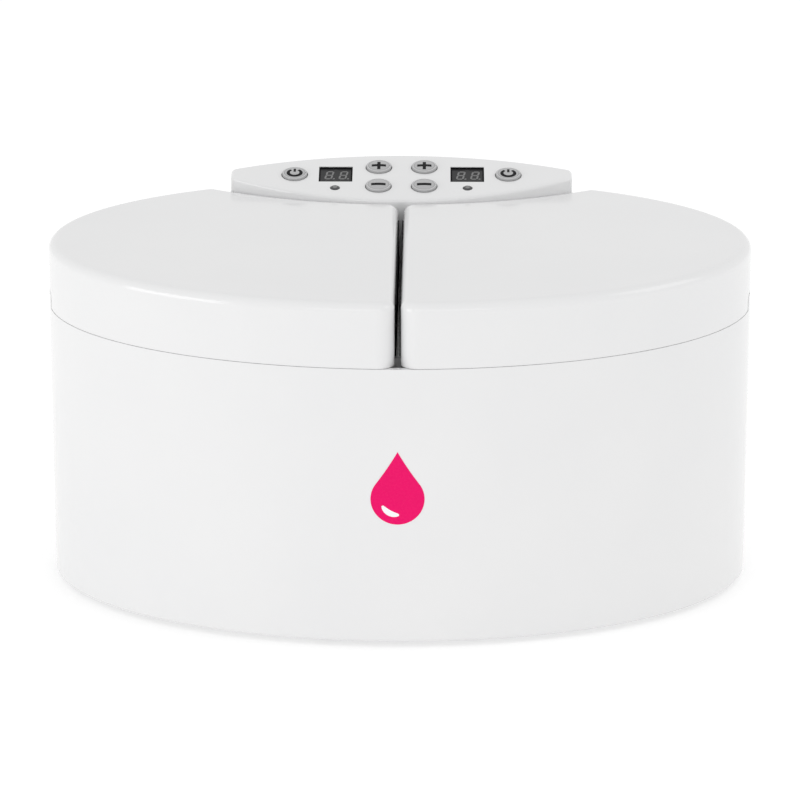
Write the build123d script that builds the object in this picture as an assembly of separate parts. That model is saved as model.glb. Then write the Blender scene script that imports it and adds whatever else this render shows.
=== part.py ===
from build123d import *
import math
import os

# Twin-chamber wax heater: an oval housing with two heated wells, a removable
# pot in each, two butterfly lids hinged at the ends of the oval, and a raised
# rear control pod with two thermostats.
# Frame: millimetres, origin on the standing surface under the centre of the
# oval, +X right, +Y to the rear (the control side), +Z up.

# ---------------------------------------------------------------- dimensions
A, B = 156.0, 100.0            # half width and half depth of the oval at the seam
A_BASE, B_BASE = 156.0, 99.35  # the same at the foot of the housing (moulding draft)
Z_FOOT = 2.5                   # height of the rubber feet
Z_SEAM = 127.0                 # top of the housing wall
Z_LID = 156.0                  # top of the lids
SEAM_GAP = 0.15                # shadow line between housing and lid
WALL = 2.6                     # housing wall
BASE_T = 2.5                   # base plate
DECK_Z0, DECK_Z1 = 118.0, 121.0  # deck plate, below the seam
LEDGE_A, LEDGE_B, LEDGE_T = 144.5, 89.5, 3.5

LID_INSET = 0.2                # the lid skin stands this far inside the housing skin
LID_WALL = 2.5
LID_EDGE_R = 4.0               # rounding of the lid's top edge
LID_GAP = 2.6                  # slot between the two lids
R_FRONT, R_REAR, R_OUTER = 7.3, 5.2, 5.2  # vertical corner radii of a lid

POD_R = 159.0                  # radius of the pod's curved front, seen from above
POD_Y0 = 57.3                  # foremost line of the pod
POD_HALF = 78.6                # half width of the raised part
POD_BASE_HALF = 84.3           # half width of the part below the lids' top
POD_RISE = 1.25                # panel's front edge above the lids
TILT = 12.9                    # slope of the panel, degrees
POD_WALL = 2.4
POD_LID_GAP = 0.65
POD_EDGE_R = 1.8

WELL_X, WELL_Y = 70.0, -8.0    # axis of each well
POT_BORE_R, POT_WALL = 55.0, 1.0
POT_RIM_R, POT_RIM_T = 62.0, 1.2
POT_FLOOR_Z = 30.0             # inside bottom of the pot
POT_CORNER_R = 4.0
WELL_IN_R, WELL_WALL = 56.8, 1.5
WELL_FLANGE_R = 62.5

HINGE_X, HINGE_Z = 153.0, 130.6
KNUCKLE_R = 3.0
PIN_R = 1.25
PIN_CLEAR = 0.05
EAR_Y0, EAR_Y1 = 8.0, 14.2
KNUCKLE_HALF = 7.5

BUTTON_R = 5.8
BUTTON_CLEAR = 0.35
BUTTON_TRAVEL = 0.8
BUTTON_RIM, BUTTON_DOME = 0.9, 0.6  # edge of the cap above the panel, and the rise of its dome
PANEL_T = 2.2
# control positions on the panel: x from the centre, s up the slope from its front edge
POWER = (49.2, 23.5)
DISPLAY = (30.3, 24.2)
LAMP = (30.4, 11.0)
PLUS = (10.5, 30.6)
MINUS = (10.5, 12.6)
DISPLAY_W, DISPLAY_H, DISPLAY_T = 15.0, 14.0, 7.2
DISPLAY_SINK = 0.7             # the display's face lies this far under the panel
LAMP_R = 2.2
BOARD_DEPTH, BOARD_T = 11.0, 1.6

INLET_Z = 42.0                 # centre of the mains inlet on the rear wall

os.makedirs("parts", exist_ok=True)


def save(name, shape):
    solids = shape.solids()
    out = solids[0] if len(solids) == 1 else Compound(children=[s for s in solids])
    export_step(out, f"parts/{name}.step")
    print(f"{name:28s} {len(solids):2d} solid(s) {sum(s.volume for s in solids):12.2f} mm3")


def prism(face, z0, z1):
    return extrude(Pos(0, 0, z0) * face, amount=z1 - z0)


def cyl(r, z0, z1, x=0.0, y=0.0):
    return Pos(x, y, (z0 + z1) / 2) * Cylinder(r, z1 - z0)


def block(x0, x1, y0, y1, z0, z1):
    return Pos((x0 + x1) / 2, (y0 + y1) / 2, (z0 + z1) / 2) * Box(x1 - x0, y1 - y0, z1 - z0)


def ycyl(r, y0, y1, x, z):
    return Pos(x, (y0 + y1) / 2, z) * Rot(90, 0, 0) * Cylinder(r, y1 - y0)


def tapered_oval(a0, b0, z0, a1, b1, z1):
    return loft([Pos(0, 0, z0) * Ellipse(a0, b0), Pos(0, 0, z1) * Ellipse(a1, b1)], ruled=True)


def mirror_x(shape):
    return mirror(shape, about=Plane.YZ)


def wall_at(z, inset=0.0):
    """Half axes of the housing skin at height z, less an inset."""
    k = (z - Z_FOOT) / (Z_SEAM - Z_FOOT)
    return A_BASE + (A - A_BASE) * k - inset, B_BASE + (B - B_BASE) * k - inset


# the panel's own frame: x to the right, y up the slope, z out of the panel
t = math.radians(TILT)
PANEL = Plane(origin=(0, POD_Y0, Z_LID + POD_RISE), x_dir=(1, 0, 0), z_dir=(0, -math.sin(t), math.cos(t)))


def on_panel(shape, x, s, z=0.0):
    return PANEL.location * Pos(x, s, z) * shape


def pcyl(r, x, s, z0, z1):
    return on_panel(Pos(0, 0, (z0 + z1) / 2) * Cylinder(r, z1 - z0), x, s)


def pblock(x0, x1, s0, s1, z0, z1):
    return PANEL.location * block(x0, x1, s0, s1, z0, z1)


SIDES = (("left", -1), ("right", 1))

# ------------------------------------------------------------------ housing
outer = tapered_oval(A_BASE, B_BASE, Z_FOOT, A, B, Z_SEAM)
outer = fillet(outer.edges().sort_by(Axis.Z)[0], 1.4)
i0, i1 = wall_at(Z_FOOT - 1, WALL), wall_at(Z_SEAM + 1, WALL)
inner = tapered_oval(*i0, Z_FOOT - 1, *i1, Z_SEAM + 1)
housing = outer - inner
# inner ledge that carries the deck
la, lb = wall_at(116, 1.3)
housing += prism(Ellipse(la, lb) - Ellipse(LEDGE_A, LEDGE_B), DECK_Z0 - LEDGE_T, DECK_Z0)

# screw posts for the base plate, each tied to the wall by a rib
POSTS = [(137, -32), (-137, -32), (112, 54), (-112, 54), (30, -86), (-30, -86)]
ra, rb = wall_at(12, 1.3)
rib_limit = prism(Ellipse(ra, rb), Z_FOOT + BASE_T, 24)
for x, y in POSTS:
    ang = math.degrees(math.atan2(y / B**2, x / A**2))
    rib = Pos(x, y, 13.5) * Rot(0, 0, ang) * Pos(8, 0, 0) * Box(16, 2.2, 17)
    housing += rib & rib_limit
    housing += cyl(3.6, Z_FOOT + BASE_T, 22, x, y)
for x, y in POSTS:
    housing -= cyl(1.55, Z_FOOT + BASE_T - 1, 17, x, y)

# hinge ears at the two ends of the oval, flush with the skin
ear_limit = prism(Ellipse(A, B), 100, 150)
for side, sx in SIDES:
    for sy in (-1, 1):
        y0, y1 = sorted((sy * EAR_Y0, sy * EAR_Y1))
        ear = ycyl(KNUCKLE_R, y0, y1, sx * HINGE_X, HINGE_Z)
        x0, x1 = sorted((sx * (HINGE_X - KNUCKLE_R), sx * A))
        ear += block(x0, x1, y0, y1, DECK_Z1 + 0.3, HINGE_Z)
        housing += ear & ear_limit
    housing -= ycyl(PIN_R, -EAR_Y1 - 1, EAR_Y1 + 1, sx * HINGE_X, HINGE_Z)

# pad and pocket for the mains inlet, sunk flush into the rear wall
housing += block(-28, 28, 93.6, 97.6, INLET_Z - 14, INLET_Z + 14)
pocket = Pos(0, 98.7, INLET_Z) * Rot(90, 0, 0) * extrude(RectangleRounded(48.6, 24.6, 3.3), amount=2.5, both=True)
housing -= pocket & block(-30, 30, 96.2, 110, 0, 100)
housing -= block(-13.9, 13.9, 90, 100, INLET_Z - 10.3, INLET_Z + 10.3)
for x in (-20, 20):
    housing -= ycyl(1.45, 90, 99, x, INLET_Z)

# clearance holes in the ledge for the deck and pod screws
DECK_SCREWS = [(147.6 * math.cos(math.radians(d)), 92.6 * math.sin(math.radians(d))) for d in (-75, -105, -30, -150, 33, 147)]
POD_SCREWS = [(40, 67.9), (-40, 67.9), (55, 88.3), (-55, 88.3)]
for x, y in DECK_SCREWS:
    housing -= cyl(1.45, DECK_Z0 - LEDGE_T - 1, DECK_Z0 + 0.01, x, y)
for x, y in POD_SCREWS[2:]:
    housing -= cyl(1.7, DECK_Z0 - LEDGE_T - 1, DECK_Z0 + 0.01, x, y)
    housing -= cyl(3.4, DECK_Z0 - LEDGE_T - 1, DECK_Z0 - 2.0, x, y)
save("housing_shell", housing)

# ------------------------------------------------------------------ base
ba, bb = wall_at(Z_FOOT + 1, WALL + 0.3)
base = prism(Ellipse(ba, bb), Z_FOOT, Z_FOOT + BASE_T)
for x, y in POSTS:
    base -= cyl(1.7, Z_FOOT - 1, 10, x, y)
    base -= cyl(3.3, Z_FOOT - 1, Z_FOOT + 1.4, x, y)
for side, sx in SIDES:
    for i in range(-3, 4):
        slot = Pos(sx * WELL_X + i * 9, WELL_Y, Z_FOOT) * extrude(SlotOverall(34, 3.2, rotation=90), amount=12, both=True)
        base -= slot
BOARD_POSTS = [(46, 64), (-46, 64), (46, 84), (-46, 84)]
BOARD_Z = 14.0
for x, y in BOARD_POSTS:
    base += cyl(3.0, Z_FOOT + BASE_T, BOARD_Z, x, y)
    base -= cyl(1.05, Z_FOOT + BASE_T + 1, BOARD_Z + 1, x, y)
save("base_plate", base)

feet = []
for x, y in ((104, 44), (-104, 44), (104, -44), (-104, -44)):
    foot = cyl(8.0, 0, Z_FOOT, x, y)
    foot = fillet(foot.edges().sort_by(Axis.Z)[0], 0.8)
    feet += foot.solids()
save("rubber_feet", Compound(children=feet))

screws = []
for x, y in POSTS:
    s = cyl(3.0, Z_FOOT + 0.1, Z_FOOT + 1.4, x, y) + cyl(1.5, Z_FOOT + 1.4, 15.5, x, y)
    s -= block(x - 2.0, x + 2.0, y - 0.35, y + 0.35, Z_FOOT, Z_FOOT + 0.8)
    s -= block(x - 0.35, x + 0.35, y - 2.0, y + 2.0, Z_FOOT, Z_FOOT + 0.8)
    screws += s.solids()
save("base_screws", Compound(children=screws))

# ------------------------------------------------------------------ deck
deck = prism(Ellipse(151.95, 96.95), DECK_Z0, DECK_Z1)
for side, sx in SIDES:
    deck += cyl(66.0, DECK_Z1, DECK_Z1 + 1.8, sx * WELL_X, WELL_Y) - cyl(64.2, DECK_Z1, DECK_Z1 + 3, sx * WELL_X, WELL_Y)
for side, sx in SIDES:
    deck -= cyl(WELL_IN_R, DECK_Z0 - 1, DECK_Z1 + 1, sx * WELL_X, WELL_Y)
    for d in (45, 135, 225, 315):
        x = sx * WELL_X + 60.6 * math.cos(math.radians(d))
        y = WELL_Y + 60.6 * math.sin(math.radians(d))
        deck -= cyl(1.15, DECK_Z0 - 1, DECK_Z0 + 2.3, x, y)
for x, y in DECK_SCREWS:
    deck -= cyl(1.6, DECK_Z0 - 1, DECK_Z1 + 1, x, y)
for x, y in POD_SCREWS:
    deck -= cyl(1.7, DECK_Z0 - 1, DECK_Z1 + 1, x, y)
deck -= block(27, 45, 81.4, 86.2, DECK_Z0 - 1, DECK_Z1 + 1)  # passage for the ribbon
save("top_deck", deck)

screws = []
for x, y in DECK_SCREWS:
    s = cyl(2.6, DECK_Z1, DECK_Z1 + 1.5, x, y)
    s = fillet(s.edges().sort_by(Axis.Z)[-1], 0.5)
    s += cyl(1.4, DECK_Z0 - LEDGE_T + 0.3, DECK_Z1, x, y)
    s -= block(x - 1.6, x + 1.6, y - 0.3, y + 0.3, DECK_Z1 + 0.8, DECK_Z1 + 2)
    s -= block(x - 0.3, x + 0.3, y - 1.6, y + 1.6, DECK_Z1 + 0.8, DECK_Z1 + 2)
    screws += s.solids()
save("deck_screws", Compound(children=screws))

divider = block(-3.6, 3.6, -84.0, POD_Y0 - 4.0, DECK_Z1, Z_SEAM - 0.2)
save("center_divider", divider)

# ------------------------------------------------------------------ wells and what heats them
well_screws = []
for side, sx in SIDES:
    cx, cy = sx * WELL_X, WELL_Y
    # removable pot
    pot = cyl(POT_BORE_R + POT_WALL, POT_FLOOR_Z - POT_WALL, DECK_Z1 + POT_RIM_T, cx, cy)
    pot = fillet(pot.edges().sort_by(Axis.Z)[0], POT_CORNER_R + POT_WALL)
    pot += cyl(POT_RIM_R, DECK_Z1, DECK_Z1 + POT_RIM_T, cx, cy)
    bore = cyl(POT_BORE_R, POT_FLOOR_Z, DECK_Z1 + 10, cx, cy)
    bore = fillet(bore.edges().sort_by(Axis.Z)[0], POT_CORNER_R)
    save(f"inner_pot_{side}", pot - bore)
    # heated well
    wz0 = POT_FLOOR_Z - POT_WALL - 0.5
    well = cyl(WELL_IN_R + WELL_WALL, wz0 - WELL_WALL, DECK_Z0, cx, cy) + cyl(WELL_FLANGE_R, DECK_Z0 - 1.5, DECK_Z0, cx, cy)
    well -= cyl(WELL_IN_R, wz0, DECK_Z0 + 1, cx, cy)
    for d in (45, 135, 225, 315):
        x, y = cx + 60.6 * math.cos(math.radians(d)), cy + 60.6 * math.sin(math.radians(d))
        well -= cyl(1.25, DECK_Z0 - 3, DECK_Z0 + 1, x, y)
        s = cyl(1.8, DECK_Z0 - 3.0, DECK_Z0 - 1.5, x, y) + cyl(1.1, DECK_Z0 - 1.5, DECK_Z0 + 2.1, x, y)
        well_screws += s.solids()
    save(f"heating_well_{side}", well)
    # mica band heater round the well, with two terminal studs
    r0 = WELL_IN_R + WELL_WALL + 0.15
    band = cyl(r0 + 1.4, 44, 96, cx, cy) - cyl(r0, 43, 97, cx, cy)
    band -= block(cx - 1.2, cx + 1.2, cy + 50, cy + 70, 40, 100)
    save(f"band_heater_{side}", band)
    jacket = cyl(66.0, 32, 112, cx, cy) - cyl(r0 + 1.6, 31, 113, cx, cy)
    jacket -= block(cx - 9, cx + 9, cy + 50, cy + 70, 30, 115)
    save(f"insulation_jacket_{side}", jacket)
    probe = cyl(3.0, wz0 - WELL_WALL - 6.0, wz0 - WELL_WALL, cx, cy)
    probe += cyl(5.0, wz0 - WELL_WALL - 1.0, wz0 - WELL_WALL, cx, cy)
    save(f"temperature_probe_{side}", probe)
    fuse = Pos(cx, cy + 22, wz0 - WELL_WALL - 2.3) * Rot(0, 90, 0) * Cylinder(2.2, 11)
    fuse += block(cx - 3, cx + 3, cy + 18.5, cy + 25.5, wz0 - WELL_WALL - 1.0, wz0 - WELL_WALL)
    save(f"thermal_cutoff_{side}", fuse)
save("well_screws", Compound(children=well_screws))

# ------------------------------------------------------------------ control pod
arc_disk = Pos(0, POD_Y0 + POD_R) * Circle(POD_R)
raised = (Ellipse(A, B) & arc_disk) & (Pos(0, 80) * Rectangle(2 * POD_HALF, 120))
raised = fillet(raised.vertices(), 3.2)
pod_top = prism(raised, Z_SEAM + 0.2, 185)
pod_top -= PANEL.location * Pos(0, 0, 50) * Box(400, 400, 100)
top_face = pod_top.faces().sort_by(Axis.Z)[-1]
pod_top = fillet(top_face.edges(), POD_EDGE_R)
low = (Ellipse(A, B) & arc_disk) & (Pos(0, 80) * Rectangle(2 * POD_BASE_HALF, 120))
low_in = (Ellipse(151.9, 96.9) & arc_disk) & (Pos(0, 80) * Rectangle(2 * POD_BASE_HALF - 1, 120))
pod = pod_top + prism(low, Z_SEAM + 0.2, Z_LID - 3.4) + prism(low_in, DECK_Z1, Z_SEAM + 1)
cav = (Ellipse(A - POD_WALL, B - POD_WALL) & (Pos(0, POD_Y0 + POD_R) * Circle(POD_R - POD_WALL))) & (Pos(0, 80) * Rectangle(2 * (POD_HALF - POD_WALL), 120))
cav_low = (Ellipse(149.5, 94.5) & (Pos(0, POD_Y0 + POD_R) * Circle(POD_R - POD_WALL))) & (Pos(0, 80) * Rectangle(2 * (POD_HALF - POD_WALL), 120))
cavity = prism(cav, Z_SEAM + 1, 185) - PANEL.location * Pos(0, 0, 50 - PANEL_T) * Box(400, 400, 100)
pod -= cavity
pod -= prism(cav_low, DECK_Z1 - 1, Z_SEAM + 2)
# bosses for the screws that hold the pod down
boss_limit = prism(low_in, DECK_Z1, 150)
for x, y in POD_SCREWS:
    pod += cyl(3.4, DECK_Z1, 136, x, y) & boss_limit
for x, y in POD_SCREWS:
    pod -= cyl(1.45, DECK_Z1 - 1, 132, x, y)
# bosses that hold the display board under the panel
BOARD_BOSSES = [(20.2, 22.0), (-20.2, 22.0), (62.0, 24.2), (-62.0, 24.2)]
for x, s in BOARD_BOSSES:
    pod += pcyl(2.3, x, s, -BOARD_DEPTH, -PANEL_T + 0.3)
for x, s in BOARD_BOSSES:
    pod -= pcyl(0.95, x, s, -BOARD_DEPTH - 1, -4.0)
for side, sx in SIDES:
    for x, s in (POWER, PLUS, MINUS):
        pod -= pcyl(BUTTON_R + BUTTON_CLEAR, sx * x, s, -PANEL_T - 1, 5)
    pod -= pcyl(LAMP_R + 0.1, sx * LAMP[0], LAMP[1], -PANEL_T - 1, 5)
    x, s = sx * DISPLAY[0], DISPLAY[1]
    pod -= pblock(x - DISPLAY_W / 2 - 0.25, x + DISPLAY_W / 2 + 0.25, s - DISPLAY_H / 2 - 0.25, s + DISPLAY_H / 2 + 0.25, -PANEL_T - 1, 5)
save("control_pod", pod)

screws = []
for i, (x, y) in enumerate(POD_SCREWS):
    zh = DECK_Z0 if i < 2 else DECK_Z0 - 2.0
    s = cyl(3.0, zh - 1.4, zh, x, y) + cyl(1.4, zh, 131, x, y)
    screws += s.solids()
save("pod_screws", Compound(children=screws))

# ------------------------------------------------------------------ display board and what it carries
bface = (Ellipse(A - 4.2, B - 4.2) & (Pos(0, POD_Y0 + POD_R) * Circle(POD_R - 4.2))) & (Pos(0, 80) * Rectangle(136, 120))
board = prism(bface, 130, 175) & pblock(-80, 80, -10, 60, -BOARD_DEPTH - BOARD_T, -BOARD_DEPTH)
for x, s in BOARD_BOSSES:
    board -= pcyl(1.1, x, s, -20, 0)
PIN_XS = (-5.08, -2.54, 0, 2.54, 5.08)
save("panel_board", board)

screws = []
for x, s in BOARD_BOSSES:
    sc = pcyl(1.9, x, s, -BOARD_DEPTH - BOARD_T - 1.3, -BOARD_DEPTH - BOARD_T) + pcyl(0.9, x, s, -BOARD_DEPTH - BOARD_T, -5.0)
    screws += sc.solids()
save("panel_board_screws", Compound(children=screws))

switches = []
for side, sx in SIDES:
    for x, s in (POWER, PLUS, MINUS):
        sw = pblock(sx * x - 3, sx * x + 3, s - 3, s + 3, -BOARD_DEPTH, -7.8) + pcyl(1.75, sx * x, s, -7.8, -7.0)
        switches += sw.solids()
save("tact_switches", Compound(children=switches))

for side, sx in SIDES:
    x, s = sx * DISPLAY[0], DISPLAY[1]
    disp = pblock(x - DISPLAY_W / 2, x + DISPLAY_W / 2, s - DISPLAY_H / 2, s + DISPLAY_H / 2, -DISPLAY_SINK - DISPLAY_T, -DISPLAY_SINK)
    for px in PIN_XS:
        for ps in (-5.6, 5.6):
            disp += pblock(x + px - 0.25, x + px + 0.25, s + ps - 0.25, s + ps + 0.25, -BOARD_DEPTH, -DISPLAY_SINK - DISPLAY_T + 0.3)
    save(f"display_{side}", disp)
    # foam gasket that closes the gap between the display's face and its window
    gask = pblock(x - DISPLAY_W / 2 - 0.2, x + DISPLAY_W / 2 + 0.2, s - DISPLAY_H / 2 - 0.2, s + DISPLAY_H / 2 + 0.2, -DISPLAY_SINK, -0.3)
    gask -= pblock(x - DISPLAY_W / 2 + 0.45, x + DISPLAY_W / 2 - 0.45, s - DISPLAY_H / 2 + 0.45, s + DISPLAY_H / 2 - 0.45, -DISPLAY_SINK - 1, 1)
    save(f"display_gasket_{side}", gask)
    x, s = sx * LAMP[0], LAMP[1]
    lamp = pcyl(LAMP_R, x, s, -5.5, 0.5)
    lamp = fillet(lamp.edges().sort_by(Axis.Z)[-1], 0.9)
    lamp += pcyl(LAMP_R + 0.45, x, s, -6.5, -5.5)
    for d in (-1.27, 1.27):
        lamp += pblock(x + d - 0.25, x + d + 0.25, s - 0.25, s + 0.25, -BOARD_DEPTH, -6.4)
    save(f"indicator_lamp_{side}", lamp)

# ------------------------------------------------------------------ push buttons
for side, sx in SIDES:
    for name, (x, s) in (("power", POWER), ("plus", PLUS), ("minus", MINUS)):
        dome_r = (BUTTON_R**2 + BUTTON_DOME**2) / (2 * BUTTON_DOME)
        ball = on_panel(Sphere(dome_r), sx * x, s, BUTTON_RIM + BUTTON_DOME - dome_r)
        cap = pcyl(BUTTON_R, sx * x, s, -2.6, BUTTON_RIM + BUTTON_DOME + 1) & ball
        rim = [e for e in cap.edges() if abs(PANEL.to_local_coords(e).center().Z - BUTTON_RIM) < 0.2]
        cap = fillet(rim, 0.35)
        cap += pcyl(BUTTON_R + 1.0, sx * x, s, -3.5, -2.5)
        cap += pcyl(1.9, sx * x, s, -6.1, -3.4)
        save(f"{name}_button_{side}", cap)

# ------------------------------------------------------------------ power board, inlet, ribbon
pb = block(-52, 52, 60, 88, BOARD_Z, BOARD_Z + 1.6)
for x, y in BOARD_POSTS:
    pb -= cyl(1.2, BOARD_Z - 1, BOARD_Z + 3, x, y)
save("power_board", pb)
screws = []
for x, y in BOARD_POSTS:
    s = cyl(2.0, BOARD_Z + 1.6, BOARD_Z + 3.0, x, y) + cyl(1.0, BOARD_Z - 7, BOARD_Z + 1.6, x, y)
    screws += s.solids()
save("power_board_screws", Compound(children=screws))
pz = BOARD_Z + 1.6
core = block(-42, -20, 65, 83, pz, pz + 15)
core += block(-38, -24, 61.5, 86.5, pz + 2, pz + 13)
save("transformer", core)
rel = [block(16, 31, 62, 72, pz, pz + 13).solids()[0], block(33.5, 42.5, 62, 78, pz, pz + 13).solids()[0]]
save("relays", Compound(children=rel))
term = block(-13, 13, 61, 68, pz, pz + 9)
for x in (-9.6, -3.2, 3.2, 9.6):
    term -= cyl(1.6, pz + 4, pz + 10, x, 64.5)
save("terminal_block", term)

flange = Pos(0, 97.4, INLET_Z) * Rot(90, 0, 0) * extrude(RectangleRounded(48, 24, 3), amount=1.2, both=True)
inlet = flange + block(-13.6, 13.6, 74, 97, INLET_Z - 10, INLET_Z + 10)
mouth = block(-12, 12, 80, 100, INLET_Z - 8.2, INLET_Z + 8.2)
mouth = chamfer(mouth.edges().filter_by(Axis.Y).sort_by(Axis.Z)[-2:], 4.5)
inlet -= mouth
for x in (-20, 20):
    inlet -= ycyl(1.7, 90, 100, x, INLET_Z)
PINS = ((-7.0, INLET_Z - 2.2), (7.0, INLET_Z - 2.2), (0.0, INLET_Z + 2.2))
for x, z in PINS:
    inlet -= block(x - 1.05, x + 1.05, 70, 81, z - 2.05, z + 2.05)
save("mains_inlet", inlet)
pins = []
for x, z in PINS:
    pins += block(x - 1.0, x + 1.0, 68, 95, z - 2.0, z + 2.0).solids()
save("inlet_pins", Compound(children=pins))
screws = []
for x in (-20, 20):
    s = ycyl(2.6, 98.6, 99.0, x, INLET_Z) + ycyl(1.4, 92.0, 98.7, x, INLET_Z)
    screws += s.solids()
save("inlet_screws", Compound(children=screws))

# flat ribbon between the two boards, with a socket at each end
SOCKET = BOARD_DEPTH + BOARD_T + 6
RIBBON_Y = POD_Y0 + 23 * math.cos(t) + SOCKET * math.sin(t)
upper = pblock(28.5, 43.5, 20.5, 25.5, -SOCKET, -BOARD_DEPTH - BOARD_T)
lower = block(28.5, 43.5, RIBBON_Y - 2.5, RIBBON_Y + 2.5, pz, pz + 6)
save("ribbon_sockets", Compound(children=[upper.solids()[0], lower.solids()[0]]))
ribbon = block(30, 42, RIBBON_Y - 0.45, RIBBON_Y + 0.45, pz + 6, 165) - pblock(0, 80, -40, 80, -SOCKET, 60)
save("ribbon_cable", ribbon)

# ------------------------------------------------------------------ lids
LA, LB = A - LID_INSET, B - LID_INSET
Z_LID0 = Z_SEAM + SEAM_GAP


def lid_face(inset, r_front, r_rear, r_outer):
    half = Pos((LID_GAP / 2 + inset) + 100, 0) * Rectangle(200, 260)
    f = (Ellipse(LA - inset, LB - inset) & half) - (Pos(0, POD_Y0 + POD_R) * Circle(POD_R + POD_LID_GAP + inset))
    v = f.vertices()
    front = v.sort_by(Axis.Y)[0]
    outer_v = v.sort_by(Axis.Y)[-1]
    rear = [q for q in v if q.X < LID_GAP / 2 + inset + 0.1 and q.Y > 0][0]
    f = fillet(front, r_front)
    v = f.vertices()
    rear = min(v, key=lambda q: (q.center() - rear.center()).length)
    f = fillet(rear, r_rear)
    v = f.vertices()
    outer_v = min(v, key=lambda q: (q.center() - outer_v.center()).length)
    return fillet(outer_v, r_outer)


lid = prism(lid_face(0, R_FRONT, R_REAR, R_OUTER), Z_LID0, Z_LID)
lid = fillet(lid.faces().sort_by(Axis.Z)[-1].edges(), LID_EDGE_R)
hollow = prism(lid_face(LID_WALL, R_FRONT - LID_WALL, R_REAR - LID_WALL, R_OUTER - LID_WALL), Z_LID0 - 1, Z_LID - LID_WALL)
hollow = fillet(hollow.faces().sort_by(Axis.Z)[-1].edges(), LID_EDGE_R - LID_WALL)
lid -= hollow
# rounded relief round the hinge line, pockets for the housing's ears
lid -= block(HINGE_X - 4.5, A + 3, -18.0, 18.0, Z_LID0 - 1, HINGE_Z) - ycyl(KNUCKLE_R + 0.3, -20, 20, HINGE_X, HINGE_Z)
for sy in (-1, 1):
    y0, y1 = sorted((sy * (KNUCKLE_HALF + 0.2), sy * (EAR_Y1 + 0.4)))
    lid -= block(HINGE_X - 4.5, A + 3, y0, y1, Z_LID0 - 1, HINGE_Z + KNUCKLE_R + 0.6)
lid += ycyl(KNUCKLE_R, -KNUCKLE_HALF, KNUCKLE_HALF, HINGE_X, HINGE_Z) & prism(Ellipse(LA, LB), 120, 140)
lid -= ycyl(PIN_R + PIN_CLEAR, -KNUCKLE_HALF - 1, KNUCKLE_HALF + 1, HINGE_X, HINGE_Z)
seal = block(LID_GAP / 2 - 0.6, LID_GAP / 2, -85.0, 44.0, Z_LID0 + 1.2, Z_LID - 4.8)
pin = ycyl(PIN_R, -EAR_Y1 + 0.3, EAR_Y1 - 0.3, HINGE_X, HINGE_Z)
save("lid_right", lid)
save("lid_left", mirror_x(lid))
save("lid_edge_seal_right", seal)
save("lid_edge_seal_left", mirror_x(seal))
save("hinge_pin_right", pin)
save("hinge_pin_left", mirror_x(pin))
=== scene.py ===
import math

import bmesh
import bpy
from mathutils import Matrix, Vector


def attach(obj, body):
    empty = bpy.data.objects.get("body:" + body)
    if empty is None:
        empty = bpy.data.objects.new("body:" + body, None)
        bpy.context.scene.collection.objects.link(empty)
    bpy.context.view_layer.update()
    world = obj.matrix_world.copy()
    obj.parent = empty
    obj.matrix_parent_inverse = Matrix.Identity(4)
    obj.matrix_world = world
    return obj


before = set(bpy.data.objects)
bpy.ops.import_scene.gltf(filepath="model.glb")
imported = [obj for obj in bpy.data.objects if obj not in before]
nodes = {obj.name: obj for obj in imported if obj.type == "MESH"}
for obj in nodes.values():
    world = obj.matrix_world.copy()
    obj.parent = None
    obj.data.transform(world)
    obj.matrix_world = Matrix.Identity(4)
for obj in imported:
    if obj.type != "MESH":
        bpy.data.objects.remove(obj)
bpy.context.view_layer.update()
scene = bpy.context.scene

# ---------------------------------------------------------------- node helpers


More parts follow.
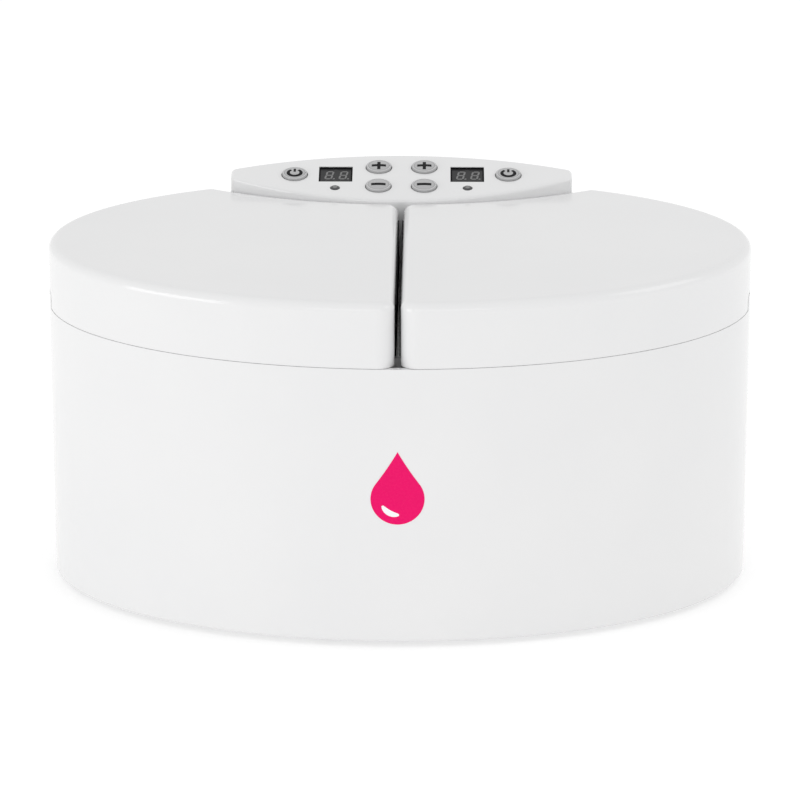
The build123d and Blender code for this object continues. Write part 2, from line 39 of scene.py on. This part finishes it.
class Net:
    """A small helper for building one material's node tree."""

    def __init__(self, name):
        self.mat = bpy.data.materials.new(name)
        self.mat.use_nodes = True
        self.nt = self.mat.node_tree
        self.bsdf = self.nt.nodes["Principled BSDF"]
        self.coord = self.nt.nodes.new("ShaderNodeTexCoord").outputs["Object"]

    def new(self, kind, **props):
        n = self.nt.nodes.new(kind)
        for k, v in props.items():
            setattr(n, k, v)
        return n

    def link(self, a, b):
        self.nt.links.new(a, b)

    def set(self, **values):
        for k, v in values.items():
            self.bsdf.inputs[k.replace("_", " ")].default_value = v

    def scaled(self, x, y, z, loc=(0, 0, 0)):
        m = self.new("ShaderNodeMapping")
        m.inputs["Scale"].default_value = (x, y, z)
        m.inputs["Location"].default_value = loc
        self.link(self.coord, m.inputs["Vector"])
        return m.outputs["Vector"]

    def noise(self, scale, detail=2.0, rough=0.5, vector=None, distortion=0.0):
        n = self.new("ShaderNodeTexNoise")
        n.inputs["Scale"].default_value = scale
        n.inputs["Detail"].default_value = detail
        n.inputs["Roughness"].default_value = rough
        n.inputs["Distortion"].default_value = distortion
        self.link(vector if vector is not None else self.coord, n.inputs["Vector"])
        return n.outputs["Fac"]

    def remap(self, fac, lo, hi, a, b):
        m = self.new("ShaderNodeMapRange")
        m.inputs["From Min"].default_value = lo
        m.inputs["From Max"].default_value = hi
        m.inputs["To Min"].default_value = a
        m.inputs["To Max"].default_value = b
        self.link(fac, m.inputs["Value"])
        return m.outputs["Result"]

    def ramp(self, fac, stops):
        r = self.new("ShaderNodeValToRGB")
        while len(r.color_ramp.elements) < len(stops):
            r.color_ramp.elements.new(0.5)
        for e, (p, c) in zip(r.color_ramp.elements, stops):
            e.position = p
            e.color = (*c, 1.0)
        self.link(fac, r.inputs["Fac"])
        return r.outputs["Color"]

    def math(self, op, a, b=None, clamp=False):
        m = self.new("ShaderNodeMath", operation=op, use_clamp=clamp)
        for i, v in enumerate((a, b)):
            if v is None:
                continue
            if isinstance(v, (int, float)):
                m.inputs[i].default_value = v
            else:
                self.link(v, m.inputs[i])
        return m.outputs[0]

    def mix(self, fac, a, b):
        m = self.new("ShaderNodeMix", data_type="RGBA")
        for sock, v in ((m.inputs[0], fac), (m.inputs[6], a), (m.inputs[7], b)):
            if isinstance(v, (int, float)):
                sock.default_value = v
            elif isinstance(v, tuple):
                sock.default_value = (*v, 1.0)
            else:
                self.link(v, sock)
        return m.outputs[2]

    def bump(self, height, distance, strength=1.0, under=None):
        b = self.new("ShaderNodeBump")
        b.inputs["Strength"].default_value = strength
        b.inputs["Distance"].default_value = distance
        self.link(height, b.inputs["Height"])
        if under is not None:
            self.link(under, b.inputs["Normal"])
        return b.outputs["Normal"]

    def color(self, sock):
        self.link(sock, self.bsdf.inputs["Base Color"])

    def rough(self, sock):
        self.link(sock, self.bsdf.inputs["Roughness"])

    def normal(self, sock):
        self.link(sock, self.bsdf.inputs["Normal"])


def gloss_plastic(name, col, rough=(0.10, 0.17), peel=6e-6, warm=0.004):
    """Glossy injection moulding: faint orange peel, hairline variation of gloss, very slight tint drift."""
    n = Net(name)
    big = n.noise(9.0, 3.0, 0.6)
    c1 = tuple(max(0, v * 0.982) for v in col)
    c2 = (min(1, col[0] * 1.006), min(1, col[1] * 1.004), min(1, col[2] * (1.004 - warm)))
    n.color(n.ramp(big, [(0.35, c1), (0.65, c2)]))
    mid = n.noise(70.0, 4.0, 0.6)
    fine = n.noise(1400.0, 2.0, 0.5)
    n.rough(n.remap(n.math("ADD", n.math("MULTIPLY", mid, 0.7), n.math("MULTIPLY", fine, 0.3)), 0.3, 0.7, rough[0], rough[1]))
    b1 = n.bump(n.noise(240.0, 2.0, 0.45), peel, 1.0)
    n.normal(n.bump(fine, peel * 0.35, 1.0, b1))
    n.set(Specular_IOR_Level=0.5, IOR=1.53)
    n.set(Coat_Weight=0.25, Coat_Roughness=0.06)
    return n.mat


def grained_plastic(name, col, rough=(0.42, 0.6), grain=3.2e-5, scale=900.0):
    """Spark-eroded matt moulding: fine pebbled grain, slightly worn high spots."""
    n = Net(name)
    v = n.new("ShaderNodeTexVoronoi")
    v.inputs["Scale"].default_value = scale
    n.link(n.coord, v.inputs["Vector"])
    g = n.noise(scale * 1.7, 3.0, 0.6)
    h = n.math("ADD", n.math("MULTIPLY", v.outputs["Distance"], 0.6), n.math("MULTIPLY", g, 0.4))
    big = n.noise(14.0, 3.0, 0.6)
    n.color(n.ramp(big, [(0.3, tuple(x * 0.9 for x in col)), (0.7, tuple(min(1, x * 1.05) for x in col))]))
    n.rough(n.remap(h, 0.1, 0.9, rough[1], rough[0]))
    n.normal(n.bump(h, grain, 0.9))
    n.set(Specular_IOR_Level=0.45)
    return n.mat


def rubber(name, col=(0.018, 0.018, 0.019)):
    n = Net(name)
    g = n.noise(1500.0, 4.0, 0.7)
    big = n.noise(60.0, 3.0, 0.6)
    n.color(n.ramp(big, [(0.3, tuple(x * 0.8 for x in col)), (0.75, tuple(x * 1.7 for x in col))]))
    n.rough(n.remap(g, 0.3, 0.7, 0.62, 0.85))
    n.normal(n.bump(g, 2e-5, 0.8))
    n.set(Specular_IOR_Level=0.3)
    return n.mat


def steel(name, col=(0.58, 0.58, 0.59), rough=(0.22, 0.4), stretch=(300, 300, 40)):
    n = Net(name)
    v = n.scaled(*stretch)
    s = n.noise(8.0, 5.0, 0.65, vector=v)
    spots = n.noise(160.0, 3.0, 0.6)
    n.color(n.ramp(spots, [(0.3, tuple(x * 0.86 for x in col)), (0.7, tuple(min(1, x * 1.08) for x in col))]))
    n.rough(n.remap(s, 0.3, 0.7, rough[0], rough[1]))
    n.normal(n.bump(s, 8e-6, 0.7))
    n.set(Metallic=1.0)
    return n.mat


def turned_metal(name, cx, cy, col, rough=(0.18, 0.34), pitch=0.0009, depth=1.2e-5):
    """Spun or turned metal: fine rings about a vertical axis, with drifting polish."""
    n = Net(name)
    m = n.new("ShaderNodeMapping", vector_type="POINT")
    m.inputs["Location"].default_value = (-cx, -cy, 0)
    m.inputs["Scale"].default_value = (1, 1, 1)
    n.link(n.coord, m.inputs["Vector"])
    sep = n.new("ShaderNodeSeparateXYZ")
    n.link(m.outputs["Vector"], sep.inputs[0])
    x2 = n.math("MULTIPLY", sep.outputs[0], sep.outputs[0])
    y2 = n.math("MULTIPLY", sep.outputs[1], sep.outputs[1])
    r = n.math("SQRT", n.math("ADD", x2, y2))
    along = n.math("ADD", r, n.math("MULTIPLY", sep.outputs[2], 1.0))
    ring = n.new("ShaderNodeTexNoise", noise_dimensions="1D")
    ring.inputs["Scale"].default_value = 1.0 / pitch
    ring.inputs["Detail"].default_value = 6.0
    ring.inputs["Roughness"].default_value = 0.7
    n.link(along, ring.inputs["W"])
    smear = n.noise(26.0, 4.0, 0.6)
    n.color(n.mix(n.remap(smear, 0.3, 0.7, 0.0, 1.0), tuple(x * 0.9 for x in col), tuple(min(1, x * 1.04) for x in col)))
    n.rough(n.remap(n.math("ADD", n.math("MULTIPLY", ring.outputs["Fac"], 0.6), n.math("MULTIPLY", smear, 0.4)), 0.35, 0.65, rough[0], rough[1]))
    n.normal(n.bump(ring.outputs["Fac"], depth, 0.8))
    n.set(Metallic=1.0)
    return n.mat


def felt(name, col=(0.72, 0.69, 0.62)):
    n = Net(name)
    f = n.noise(900.0, 6.0, 0.75, vector=n.scaled(1, 1, 0.3), distortion=2.0)
    big = n.noise(40.0, 4.0, 0.6)
    n.color(n.mix(n.remap(big, 0.3, 0.7, 0, 1), tuple(x * 0.82 for x in col), tuple(min(1, x * 1.1) for x in col)))
    n.rough(n.remap(f, 0.3, 0.7, 0.85, 1.0))
    n.normal(n.bump(f, 3e-4, 0.9))
    n.set(Sheen_Weight=0.3)
    return n.mat


def circuit_board(name):
    n = Net(name)
    br = n.new("ShaderNodeTexBrick")
    br.inputs["Scale"].default_value = 180.0
    br.inputs["Mortar Size"].default_value = 0.06
    br.inputs["Color1"].default_value = (0.02, 0.14, 0.06, 1)
    br.inputs["Color2"].default_value = (0.025, 0.17, 0.07, 1)
    br.inputs["Mortar"].default_value = (0.05, 0.28, 0.12, 1)
    n.link(n.coord, br.inputs["Vector"])
    n.color(br.outputs["Color"])
    n.rough(n.remap(n.noise(500, 3), 0.3, 0.7, 0.28, 0.4))
    n.normal(n.bump(br.outputs["Fac"], -2e-5, 0.8))
    return n.mat


WHITE = (0.752, 0.753, 0.757)
M = {}
M["white"] = gloss_plastic("white_gloss", WHITE)
M["deck"] = gloss_plastic("white_deck", (0.72, 0.722, 0.726), rough=(0.22, 0.32))
M["base"] = grained_plastic("base_grain", (0.62, 0.62, 0.625))
M["rubber"] = rubber("foot_rubber_m")
M["seal"] = rubber("seal_silicone", (0.004, 0.004, 0.0045))
M["seal"].node_tree.nodes["Principled BSDF"].inputs["Specular IOR Level"].default_value = 0.08
M["steel"] = steel("zinc_steel")
M["band"] = steel("band_steel", (0.5, 0.49, 0.47), (0.3, 0.5), (60, 60, 900))
M["pot_l"] = turned_metal("spun_pot_left", -0.07, -0.008, (0.86, 0.86, 0.87))
M["pot_r"] = turned_metal("spun_pot_right", 0.07, -0.008, (0.86, 0.86, 0.87))
M["well_l"] = turned_metal("turned_well_left", -0.07, -0.008, (0.74, 0.74, 0.75), rough=(0.3, 0.5))
M["well_r"] = turned_metal("turned_well_right", 0.07, -0.008, (0.74, 0.74, 0.75), rough=(0.3, 0.5))
M["felt"] = felt("glass_felt")
M["brass"] = steel("probe_brass_m", (0.8, 0.6, 0.3), (0.2, 0.35))
M["pcb"] = circuit_board("board")
M["black"] = grained_plastic("black_mould", (0.022, 0.022, 0.024), rough=(0.35, 0.55))
M["term"] = grained_plastic("green_mould", (0.03, 0.22, 0.1))
M["display"] = gloss_plastic("display_smoke", (0.014, 0.014, 0.015), rough=(0.35, 0.45))
M["button"] = gloss_plastic("button_silver_m", (0.4, 0.4, 0.405), rough=(0.2, 0.3))
M["lens"] = gloss_plastic("lamp_epoxy", (0.075, 0.075, 0.078), rough=(0.08, 0.14))
M["ribbon"] = grained_plastic("ribbon_pvc", (0.5, 0.5, 0.52))
for key in ("display", "lens"):
    tuned = M[key].node_tree.nodes["Principled BSDF"].inputs
    tuned["Specular IOR Level"].default_value = 0.22
    tuned["Coat Weight"].default_value = 0.0

PLAN = {
    "housing_shell": "white", "top_deck": "deck", "control_pod": "white", "lid_left": "white", "lid_right": "white",
    "base_plate": "base", "rubber_feet": "rubber", "center_divider": "deck", "lid_edge_seal_left": "seal", "lid_edge_seal_right": "seal",
    "inner_pot_left": "pot_l", "inner_pot_right": "pot_r", "heating_well_left": "well_l", "heating_well_right": "well_r",
    "band_heater_left": "band", "band_heater_right": "band", "insulation_jacket_left": "felt", "insulation_jacket_right": "felt",
    "temperature_probe_left": "brass", "temperature_probe_right": "brass", "thermal_cutoff_left": "steel", "thermal_cutoff_right": "steel",
    "panel_board": "pcb", "power_board": "pcb", "tact_switches": "black", "relays": "black", "ribbon_sockets": "black", "transformer": "black",
    "terminal_block": "term", "display_left": "display", "display_right": "display", "indicator_lamp_left": "lens", "indicator_lamp_right": "lens",
    "mains_inlet": "black", "inlet_pins": "brass", "ribbon_cable": "ribbon",
    "display_gasket_left": "seal", "display_gasket_right": "seal",
}
for name, o in nodes.items():
    key = PLAN.get(name)
    if key is None:
        key = "button" if "_button_" in name else "steel"
    for s in o.material_slots:
        s.material = M[key]

# ---------------------------------------------------------------- shapes shared by the added pieces
MM = 0.001
A, B, A0, B0, Z0, ZS = 156.0, 100.0, 156.0, 99.35, 2.5, 127.0
TILT = math.radians(12.9)
PO = Vector((0, 57.3, 157.25))
EX, EY, EZ = Vector((1, 0, 0)), Vector((0, math.cos(TILT), math.sin(TILT))), Vector((0, -math.sin(TILT), math.cos(TILT)))
RIM, DOME, CAP_R = 0.9, 0.6, 5.8
BALL = (CAP_R**2 + DOME**2) / (2 * DOME)


def on_panel(x, s, h):
    """Panel coordinates (mm) to the row frame (m)."""
    return (PO + EX * x + EY * s + EZ * h) * MM


def dome(r2):
    return RIM + DOME - BALL + math.sqrt(max(0.0, BALL * BALL - r2))


def skin(x, z, out=0.0):
    """A point on the housing's front skin (m), pushed out by out mm."""
    k = (z - Z0) / (ZS - Z0)
    a, b = A0 + (A - A0) * k, B0 + (B - B0) * k
    y = -b * math.sqrt(max(0.0, 1 - (x / a) ** 2))
    n = Vector((x / a**2, y / b**2, 0)).normalized()
    return (Vector((x, y, z)) + n * out) * MM


def finish_mesh(name, bm, mat, body, smooth_deg=35.0):
    bmesh.ops.recalc_face_normals(bm, faces=bm.faces)
    me = bpy.data.meshes.new(name)
    bm.to_mesh(me)
    bm.free()
    for p in me.polygons:
        p.use_smooth = True
    me.set_sharp_from_angle(angle=math.radians(smooth_deg))
    me.materials.append(mat)
    o = bpy.data.objects.new(name, me)
    scene.collection.objects.link(o)
    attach(o, body)
    return o


def film(bm, rows, under):
    """A thin closed sheet: rows of (top point) lists over the same grid of under points."""
    n, m = len(rows), len(rows[0])
    top = [[bm.verts.new(p) for p in r] for r in rows]
    bot = [[bm.verts.new(p) for p in r] for r in under]
    for i in range(n - 1):
        for k in range(m - 1):
            bm.faces.new((top[i][k], top[i + 1][k], top[i + 1][k + 1], top[i][k + 1]))
            bm.faces.new((bot[i][k], bot[i][k + 1], bot[i + 1][k + 1], bot[i + 1][k]))
    for i in range(n - 1):
        bm.faces.new((top[i][0], bot[i][0], bot[i + 1][0], top[i + 1][0]))
        bm.faces.new((top[i][-1], top[i + 1][-1], bot[i + 1][-1], bot[i][-1]))
    for k in range(m - 1):
        bm.faces.new((top[0][k], top[0][k + 1], bot[0][k + 1], bot[0][k]))
        bm.faces.new((top[-1][k], bot[-1][k], bot[-1][k + 1], top[-1][k + 1]))


def stroke(bm, path, width, place, up, down, across=4):
    """A flat pen stroke along path (2-D points), laid on a surface by place(u, v, height)."""
    rows, under = [], []
    for i, (u, v) in enumerate(path):
        a = Vector(path[max(0, i - 1)])
        b = Vector(path[min(len(path) - 1, i + 1)])
        d = (b - a).normalized()
        nrm = Vector((-d.y, d.x))
        r, q = [], []
        for k in range(across + 1):
            w = (k / across - 0.5) * width
            pu, pv = u + nrm.x * w, v + nrm.y * w
            r.append(place(pu, pv, up))
            q.append(place(pu, pv, down))
        rows.append(r)
        under.append(q)
    film(bm, rows, under)


def line(p, q, n=10):
    return [(p[0] + (q[0] - p[0]) * i / n, p[1] + (q[1] - p[1]) * i / n) for i in range(n + 1)]


def print_mat(name, col, rough=(0.3, 0.45)):
    n = Net(name)
    g = n.noise(900.0, 3.0, 0.6)
    n.color(n.ramp(n.noise(120.0, 3.0, 0.6), [(0.3, tuple(x * 0.975 for x in col)), (0.7, tuple(min(1, x * 1.02) for x in col))]))
    n.rough(n.remap(g, 0.3, 0.7, rough[0], rough[1]))
    n.normal(n.bump(g, 2e-6, 0.5))
    n.set(Specular_IOR_Level=0.12)
    return n.mat


INK = print_mat("symbol_ink", (0.008, 0.008, 0.009), (0.5, 0.65))
# painted highlight: a paler ring for the light caught on the button caps' bevel
BEVEL_HIGHLIGHT = print_mat("button_bevel_highlight", (0.56, 0.56, 0.565), (0.25, 0.35))
# painted shade: a darker ring for the shade in the crease at the edge of the caps' top face
GROOVE_SHADE = print_mat("button_groove_shade", (0.24, 0.24, 0.245), (0.4, 0.5))
SEGMENT = print_mat("unlit_segment", (0.2, 0.2, 0.2), (0.4, 0.55))
# painted shade: near-black, for the shadow at the rear wall of the display recesses
RECESS_SHADE = print_mat("display_recess_shade", (0.008, 0.008, 0.009), (0.35, 0.5))
MAGENTA = print_mat("magenta_print", (0.78, 0.003, 0.13), (0.22, 0.32))
WHITE_INK = print_mat("white_print", (0.85, 0.85, 0.86), (0.22, 0.32))

# symbols on the push buttons
CONTROLS = {"power": (49.2, 23.5), "plus": (10.5, 30.6), "minus": (10.5, 12.6)}
for side, sx in (("left", -1), ("right", 1)):
    for kind, (cx, cs) in CONTROLS.items():

        def place(u, v, h, cx=sx * cx, cs=cs):
            return on_panel(cx + u, cs + v - 0.45, dome(u * u + (v - 0.45) ** 2) + h)

        bm = bmesh.new()
        if kind == "power":
            arc = [(2.95 * math.sin(a), 2.95 * math.cos(a)) for a in [math.radians(34 + (326 - 34) * i / 56) for i in range(57)]]
            stroke(bm, arc, 1.5, place, 0.035, -0.03)
            stroke(bm, line((0, 0.5), (0, 3.7)), 1.1, place, 0.035, -0.03)
        elif kind == "plus":
            stroke(bm, line((-3.3, 0), (3.3, 0), 18), 2.0, place, 0.035, -0.03)
            stroke(bm, line((0, 1.0), (0, 3.4)), 1.5, place, 0.035, -0.03)
            stroke(bm, line((0, -3.4), (0, -1.0)), 1.5, place, 0.035, -0.03)
        else:
            stroke(bm, line((-3.3, 0), (3.3, 0), 18), 2.1, place, 0.035, -0.03)
        finish_mesh(f"{kind}_symbol_{side}", bm, INK, f"{kind}_button_{side}")

        def ring_place(u, v, h, cx=sx * cx, cs=cs):
            return on_panel(cx + u, cs + v, dome(u * u + v * v) + h)

        # rings laid on each domed cap: the bevel ring is a painted highlight, the groove ring a painted shade
        for label, radius, width, mat in (("bevel_highlight", 5.17, 0.42, BEVEL_HIGHLIGHT), ("groove_shade", 4.86, 0.2, GROOVE_SHADE)):
            rows, under = [], []
            for i in range(73):
                a = 2 * math.pi * i / 72
                rows.append([ring_place((radius + w * width) * math.cos(a), (radius + w * width) * math.sin(a), 0.02) for w in (-0.5, 0.0, 0.5)])
                under.append([ring_place((radius + w * width) * math.cos(a), (radius + w * width) * math.sin(a), -0.03) for w in (-0.5, 0.0, 0.5)])
            bm = bmesh.new()
            film(bm, rows, under)
            bmesh.ops.remove_doubles(bm, verts=bm.verts, dist=1e-7)
            finish_mesh(f"{kind}_{label}_{side}", bm, mat, f"{kind}_button_{side}")

# unlit segments, decimal points and key notch of the two displays, and a painted shade band at the rear of each
# window
FACE = -0.7
DX, DS = 30.3, 24.2
for side, sx in (("left", -1), ("right", 1)):

    def flat(u, v, h, cx=sx * DX, cs=DS + 0.05):
        slant = math.tan(math.radians(9.0))
        return on_panel(cx + 0.15 + u + v * slant, cs + v, FACE + h)

    bm = bmesh.new()
    H, W, T, G = 7.6, 3.6, 0.8, 0.1
    for du in (-3.1, 3.4):
        h2, w2 = H / 2 - T / 2, W / 2 - T / 2
        seg = []
        for v in (-h2, 0.0, h2):
            seg.append(((du - w2 + G, v), (du + w2 - G, v)))
        for u in (-w2, w2):
            seg.append(((du + u, -h2 + G), (du + u, -G)))
            seg.append(((du + u, G), (du + u, h2 - G)))
        for p, q in seg:
            p, q = Vector(p), Vector(q)
            d = (q - p).normalized()
            nrm = Vector((-d.y, d.x)) * (T / 2)
            pts = [p, p + d * T / 2 + nrm, q - d * T / 2 + nrm, q, q - d * T / 2 - nrm, p + d * T / 2 - nrm]
            top = [bm.verts.new(flat(c.x, c.y, 0.03)) for c in pts]
            bot = [bm.verts.new(flat(c.x, c.y, -0.02)) for c in pts]
            bm.faces.new(top)
            bm.faces.new(list(reversed(bot)))
            for k in range(6):
                bm.faces.new((top[k], bot[k], bot[(k + 1) % 6], top[(k + 1) % 6]))
        ring = [(du + W / 2 + 0.85 + 0.5 * math.cos(a), -H / 2 + 0.45 + 0.5 * math.sin(a)) for a in [2 * math.pi * i / 20 for i in range(20)]]
        top = [bm.verts.new(flat(u, v, 0.03)) for u, v in ring]
        bot = [bm.verts.new(flat(u, v, -0.02)) for u, v in ring]
        bm.faces.new(top)
        bm.faces.new(list(reversed(bot)))
        for k in range(20):
            bm.faces.new((top[k], bot[k], bot[(k + 1) % 20], top[(k + 1) % 20]))
    finish_mesh(f"display_segments_{side}", bm, SEGMENT, "housing")
    cx = sx * DX
    # painted shade: a near-black band across the rear of each display window stands in for the recess's shadow; the
    # key notch is left open in it
    edge = [(-7.0, 4.9), (-1.5, 4.9), (0.0, 5.9), (1.5, 4.9), (7.0, 4.9)]
    bm = bmesh.new()
    rows = [[on_panel(cx + u, DS + v, FACE + 0.03), on_panel(cx + u, DS + 6.5, FACE + 0.03)] for u, v in edge]
    under = [[on_panel(cx + u, DS + v, FACE - 0.02), on_panel(cx + u, DS + 6.5, FACE - 0.02)] for u, v in edge]
    film(bm, rows, under)
    finish_mesh(f"display_recess_shade_{side}", bm, RECESS_SHADE, "housing")

# painted reflection: the paler core seen in the top of each lamp, a pale disc on the lens for the light reflected at
# its centre
LAMP_REFLECTION = print_mat("lamp_painted_reflection", (0.22, 0.22, 0.22), (0.15, 0.25))
for side, sx in (("left", -1), ("right", 1)):
    bm = bmesh.new()
    top = [bm.verts.new(on_panel(sx * 30.4 + 1.05 * math.cos(2 * math.pi * k / 40), 11.0 + 1.05 * math.sin(2 * math.pi * k / 40), 0.53)) for k in range(40)]
    bot = [bm.verts.new(on_panel(sx * 30.4 + 1.05 * math.cos(2 * math.pi * k / 40), 11.0 + 1.05 * math.sin(2 * math.pi * k / 40), 0.46)) for k in range(40)]
    bm.faces.new(top)
    bm.faces.new(list(reversed(bot)))
    for k in range(40):
        bm.faces.new((top[k], bot[k], bot[(k + 1) % 40], top[(k + 1) % 40]))
    finish_mesh(f"lamp_painted_reflection_{side}", bm, LAMP_REFLECTION, "housing")

# plain droplet printed on the front
DROP_Z, DROP_H, DROP_W = 73.5, 33.0, 11.6


def drop_half(v):
    """Half width of the droplet at height v above its centre."""
    r = DROP_W
    cz = -DROP_H / 2 + r
    tip = DROP_H / 2
    d = tip - cz
    tz = cz + r * r / d
    if v <= tz:
        return math.sqrt(max(0.0, r * r - (v - cz) ** 2))
    k = (tip - v) / (tip - tz)
    w0 = math.sqrt(r * r - (tz - cz) ** 2)
    return w0 * k * (0.86 + 0.14 * k)


rows, under = [], []
for i in range(81):
    v = -DROP_H / 2 + DROP_H * (1 - math.cos(math.pi * i / 80)) / 2
    w = max(drop_half(v), 0.02)
    rows.append([skin(w * (k / 12 - 1), DROP_Z + v, 0.06) for k in range(25)])
    under.append([skin(w * (k / 12 - 1), DROP_Z + v, -0.02) for k in range(25)])
bm = bmesh.new()
film(bm, rows, under)
finish_mesh("front_droplet", bm, MAGENTA, "housing")
bm = bmesh.new()
cz = -DROP_H / 2 + DROP_W
arc = [(7.2 * math.cos(a), DROP_Z + cz + 7.2 * math.sin(a)) for a in [math.radians(205 + 70 * i / 24) for i in range(25)]]
rows, under = [], []
for i, (u, v) in enumerate(arc):
    a = math.radians(205 + 70 * i / 24)
    w = 1.25 * math.sin(math.pi * (i + 0.6) / 25.2) ** 0.5 + 0.03
    rows.append([skin(u + math.cos(a) * w * (k / 3 - 1), v + math.sin(a) * w * (k / 3 - 1), 0.085) for k in range(7)])
    under.append([skin(u + math.cos(a) * w * (k / 3 - 1), v + math.sin(a) * w * (k / 3 - 1), 0.03) for k in range(7)])
film(bm, rows, under)
finish_mesh("front_droplet_glint", bm, WHITE_INK, "housing")

# ---------------------------------------------------------------- stage
def card(name, corners, mat):
    me = bpy.data.meshes.new(name)
    bm = bmesh.new()
    bm.faces.new([bm.verts.new(c) for c in corners])
    bm.to_mesh(me)
    bm.free()
    o = bpy.data.objects.new(name, me)
    scene.collection.objects.link(o)
    me.materials.append(mat)
    return o


fn = Net("floor_paper")
fn.color(fn.ramp(fn.noise(3.0, 2.0), [(0.3, (0.55, 0.55, 0.55)), (0.7, (0.57, 0.57, 0.57))]))
fn.set(Roughness=0.9, Specular_IOR_Level=0.1)
fn.bsdf.inputs["Emission Color"].default_value = (1, 1, 1, 1)
fn.bsdf.inputs["Emission Strength"].default_value = 0.5
card("floor", [(-6, -6, -0.0002), (6, -6, -0.0002), (6, 6, -0.0002), (-6, 6, -0.0002)], fn.mat)

world = bpy.data.worlds.new("studio")
scene.world = world
world.use_nodes = True
bg = world.node_tree.nodes["Background"]
bg.inputs["Color"].default_value = (1, 1, 1, 1)
bg.inputs["Strength"].default_value = 0.92


def area(name, loc, target, size, radiance, size_y):
    d = bpy.data.lights.new(name, "AREA")
    d.shape = "RECTANGLE"
    d.size = size
    d.size_y = size_y
    d.energy = radiance * math.pi * size * size_y
    o = bpy.data.objects.new(name, d)
    scene.collection.objects.link(o)
    o.location = loc
    o.rotation_euler = (Vector(target) - Vector(loc)).to_track_quat("-Z", "Y").to_euler()
    return o


area("key_left", (-1.15, -0.75, 0.3), (0, 0, 0.1), 0.8, 2.1, 0.5)
area("front_box", (0.0, -2.15, 0.75), (0, 0, 0.12), 1.6, 0.72, 0.7)
area("top_right", (1.1, -0.2, 0.9), (0.1, 0, 0.15), 0.7, 0.9, 0.7)

# ---------------------------------------------------------------- camera
cam_data = bpy.data.cameras.new("camera")
cam_data.sensor_width = 36.0
cam_data.lens = 4359.0 * 36.0 / 800.0
cam_data.clip_end = 50.0
cam = bpy.data.objects.new("camera", cam_data)
scene.collection.objects.link(cam)
yaw = math.radians(0.56)
cam.location = (1.8569 * math.sin(yaw), -1.8569 * math.cos(yaw), 0.7024)
cam.rotation_euler = (math.radians(90 - 18.53), 0.0, math.radians(0.557))
scene.camera = cam
scene.view_settings.view_transform = "Standard"
